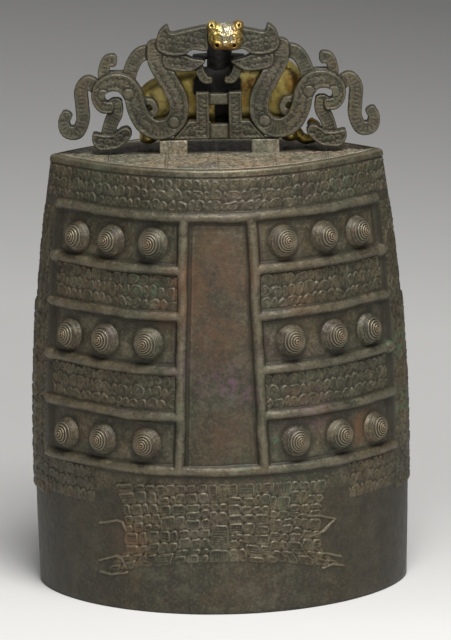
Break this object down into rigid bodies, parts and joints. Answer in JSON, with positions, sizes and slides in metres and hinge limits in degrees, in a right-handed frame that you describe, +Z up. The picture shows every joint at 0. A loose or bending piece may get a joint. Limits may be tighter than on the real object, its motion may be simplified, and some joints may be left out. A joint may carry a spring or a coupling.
{
  "type": "bronze bell",
  "caption": "Clapperless bronze bell with an almond-shaped section, a flat mouth, coiled bosses in framed fields, and an openwork dragon loop with a gilded beast",
  "frame": {"origin": "Middle of the mouth, on the plane of its rim.", "axes": "+Z is up from the mouth to the loop. +X runs along the loop and the body's wide side, towards the right seen from the front. -Y is the front."},
  "size_m": [0.2976, 0.236, 0.442],
  "materials": {
    "wall_bronze": "old dark olive-brown patina with green and reddish stains",
    "boss_bronze": "old patina, rubbed brighter on the coils",
    "loop_bronze": "old grey-green patina, rubbed on the edges",
    "gilding": "fire gilding, worn to dark bronze in places"
  },
  "bodies": {
    "root": {"bell_body": "wall_bronze", "boss_front_left_top_inner": "boss_bronze", "boss_front_left_top_centre": "boss_bronze", "boss_front_left_top_outer": "boss_bronze", "boss_front_left_middle_inner": "boss_bronze", "boss_front_left_middle_centre": "boss_bronze", "boss_front_left_middle_outer": "boss_bronze", "boss_front_left_lower_inner": "boss_bronze", "boss_front_left_lower_centre": "boss_bronze", "boss_front_left_lower_outer": "boss_bronze", "boss_front_right_top_inner": "boss_bronze", "boss_front_right_top_centre": "boss_bronze", "boss_front_right_top_outer": "boss_bronze", "boss_front_right_middle_inner": "boss_bronze", "boss_front_right_middle_centre": "boss_bronze", "boss_front_right_middle_outer": "boss_bronze", "boss_front_right_lower_inner": "boss_bronze", "boss_front_right_lower_centre": "boss_bronze", "boss_front_right_lower_outer": "boss_bronze", "boss_back_left_top_inner": "boss_bronze", "boss_back_left_top_centre": "boss_bronze", "boss_back_left_top_outer": "boss_bronze", "boss_back_left_middle_inner": "boss_bronze", "boss_back_left_middle_centre": "boss_bronze", "boss_back_left_middle_outer": "boss_bronze", "boss_back_left_lower_inner": "boss_bronze", "boss_back_left_lower_centre": "boss_bronze", "boss_back_left_lower_outer": "boss_bronze", "boss_back_right_top_inner": "boss_bronze", "boss_back_right_top_centre": "boss_bronze", "boss_back_right_top_outer": "boss_bronze", "boss_back_right_middle_inner": "boss_bronze", "boss_back_right_middle_centre": "boss_bronze", "boss_back_right_middle_outer": "boss_bronze", "boss_back_right_lower_inner": "boss_bronze", "boss_back_right_lower_centre": "boss_bronze", "boss_back_right_lower_outer": "boss_bronze", "loop_dragon_left": "loop_bronze", "loop_dragon_right": "loop_bronze", "loop_stirrup": "loop_bronze", "gilt_beast_body": "gilding", "gilt_beast_mask": "gilding"}
  },
  "joints": []
}
